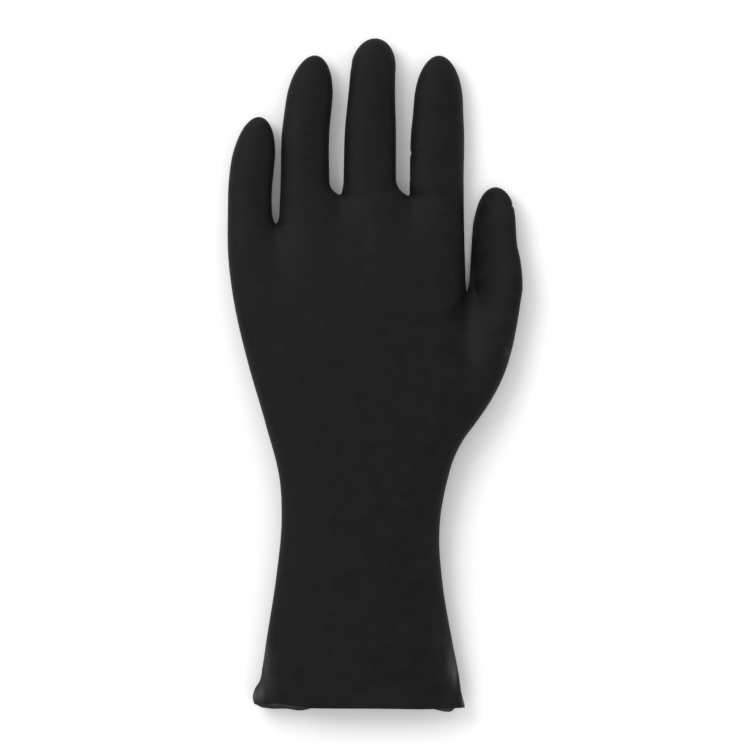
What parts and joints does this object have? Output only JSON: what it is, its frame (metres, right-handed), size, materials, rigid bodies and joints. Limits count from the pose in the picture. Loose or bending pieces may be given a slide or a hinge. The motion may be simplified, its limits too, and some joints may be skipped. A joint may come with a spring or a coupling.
{
  "type": "electrical insulating glove",
  "caption": "Thin flexible rubber glove for the left hand with a flared gauntlet cuff, hollow throughout, hinged at the wrist and at each finger crease.",
  "frame": {"origin": "middle of the glove's outline seen from above, on the surface it lies on", "axes": "+Y towards the fingertips, +X towards the thumb, +Z out of the back of the hand, palm down"},
  "size_m": [0.1224, 0.2797, 0.0252],
  "materials": {
    "rubber": "matte black, faintly mottled",
    "flex_rubber": "matte black, faintly mottled, drawn as the zones that fold"
  },
  "bodies": {
    "hand": {"hand_body": "rubber"},
    "cuff": {"cuff_gauntlet": "rubber", "wrist_flex": "flex_rubber"},
    "index_proximal": {"index_proximal": "rubber", "index_base_flex": "flex_rubber"},
    "index_middle": {"index_middle": "rubber", "index_mid_flex": "flex_rubber"},
    "index_tip": {"index_tip": "rubber", "index_tip_flex": "flex_rubber"},
    "middle_proximal": {"middle_proximal": "rubber", "middle_base_flex": "flex_rubber"},
    "middle_middle": {"middle_middle": "rubber", "middle_mid_flex": "flex_rubber"},
    "middle_tip": {"middle_tip": "rubber", "middle_tip_flex": "flex_rubber"},
    "ring_proximal": {"ring_proximal": "rubber", "ring_base_flex": "flex_rubber"},
    "ring_middle": {"ring_middle": "rubber", "ring_mid_flex": "flex_rubber"},
    "ring_tip": {"ring_tip": "rubber", "ring_tip_flex": "flex_rubber"},
    "little_proximal": {"little_proximal": "rubber", "little_base_flex": "flex_rubber"},
    "little_middle": {"little_middle": "rubber", "little_mid_flex": "flex_rubber"},
    "little_tip": {"little_tip": "rubber", "little_tip_flex": "flex_rubber"},
    "thumb_proximal": {"thumb_proximal": "rubber", "thumb_base_flex": "flex_rubber"},
    "thumb_tip": {"thumb_tip": "rubber", "thumb_tip_flex": "flex_rubber"}
  },
  "joints": [
    {"name": "wrist_bend", "type": "hinge", "parent": "hand", "child": "cuff", "pos_m": [0, -0.062, 0.01024], "axis": [1, 0, 0], "range_deg": [-60, 60], "stiffness_Nm_per_rad": 0.03, "deforming": ["wrist_flex"]},
    {"name": "index_base_bend", "type": "hinge", "parent": "hand", "child": "index_proximal", "pos_m": [0.02615, 0.0817, 0.00568], "axis": [-0.9997, 0.0224, 0], "range_deg": [-10, 70], "stiffness_Nm_per_rad": 0.004, "deforming": ["index_base_flex"]},
    {"name": "index_mid_bend", "type": "hinge", "parent": "index_proximal", "child": "index_middle", "pos_m": [0.02654, 0.09899, 0.00568], "axis": [-0.9997, 0.0224, 0], "range_deg": [0, 85], "stiffness_Nm_per_rad": 0.004, "deforming": ["index_mid_flex"]},
    {"name": "index_tip_bend", "type": "hinge", "parent": "index_middle", "child": "index_tip", "pos_m": [0.02692, 0.11599, 0.00568], "axis": [-0.9997, 0.0224, 0], "range_deg": [0, 50], "stiffness_Nm_per_rad": 0.004, "deforming": ["index_tip_flex"]},
    {"name": "middle_base_bend", "type": "hinge", "parent": "hand", "child": "middle_proximal", "pos_m": [-0.00219, 0.0817, 0.00576], "axis": [-0.9994, 0.0338, 0], "range_deg": [-10, 70], "stiffness_Nm_per_rad": 0.004, "deforming": ["middle_base_flex"]},
    {"name": "middle_mid_bend", "type": "hinge", "parent": "middle_proximal", "child": "middle_middle", "pos_m": [-0.00188, 0.1015, 0.00576], "axis": [-0.9994, 0.0338, 0], "range_deg": [0, 85], "stiffness_Nm_per_rad": 0.004, "deforming": ["middle_mid_flex"]},
    {"name": "middle_tip_bend", "type": "hinge", "parent": "middle_middle", "child": "middle_tip", "pos_m": [-0.00114, 0.12099, 0.00576], "axis": [-0.9994, 0.0338, 0], "range_deg": [0, 50], "stiffness_Nm_per_rad": 0.004, "deforming": ["middle_tip_flex"]},
    {"name": "ring_base_bend", "type": "hinge", "parent": "hand", "child": "ring_proximal", "pos_m": [-0.02951, 0.08171, 0.00544], "axis": [-0.9973, 0.0741, 0], "range_deg": [-10, 70], "stiffness_Nm_per_rad": 0.004, "deforming": ["ring_base_flex"]},
    {"name": "ring_mid_bend", "type": "hinge", "parent": "ring_proximal", "child": "ring_middle", "pos_m": [-0.02879, 0.09901, 0.00544], "axis": [-0.9973, 0.0741, 0], "range_deg": [0, 85], "stiffness_Nm_per_rad": 0.004, "deforming": ["ring_mid_flex"]},
    {"name": "ring_tip_bend", "type": "hinge", "parent": "ring_middle", "child": "ring_tip", "pos_m": [-0.02739, 0.11595, 0.00544], "axis": [-0.9973, 0.0741, 0], "range_deg": [0, 50], "stiffness_Nm_per_rad": 0.004, "deforming": ["ring_tip_flex"]},
    {"name": "little_base_bend", "type": "hinge", "parent": "hand", "child": "little_proximal", "pos_m": [-0.05212, 0.06892, 0.0048], "axis": [-0.9951, 0.0984, 0], "range_deg": [-10, 70], "stiffness_Nm_per_rad": 0.004, "deforming": ["little_base_flex"]},
    {"name": "little_mid_bend", "type": "hinge", "parent": "little_proximal", "child": "little_middle", "pos_m": [-0.05135, 0.08261, 0.0048], "axis": [-0.9951, 0.0984, 0], "range_deg": [0, 85], "stiffness_Nm_per_rad": 0.004, "deforming": ["little_mid_flex"]},
    {"name": "little_tip_bend", "type": "hinge", "parent": "little_middle", "child": "little_tip", "pos_m": [-0.04977, 0.09612, 0.0048], "axis": [-0.9951, 0.0984, 0], "range_deg": [0, 50], "stiffness_Nm_per_rad": 0.004, "deforming": ["little_tip_flex"]},
    {"name": "thumb_base_bend", "type": "hinge", "parent": "hand", "child": "thumb_proximal", "pos_m": [0.04997, 0.0412, 0.00608], "axis": [-1, -0.0046, 0], "range_deg": [0, 55], "stiffness_Nm_per_rad": 0.004, "deforming": ["thumb_base_flex"]},
    {"name": "thumb_tip_bend", "type": "hinge", "parent": "thumb_proximal", "child": "thumb_tip", "pos_m": [0.04969, 0.0598, 0.00608], "axis": [-1, -0.0046, 0], "range_deg": [0, 70], "stiffness_Nm_per_rad": 0.004, "deforming": ["thumb_tip_flex"]}
  ]
}
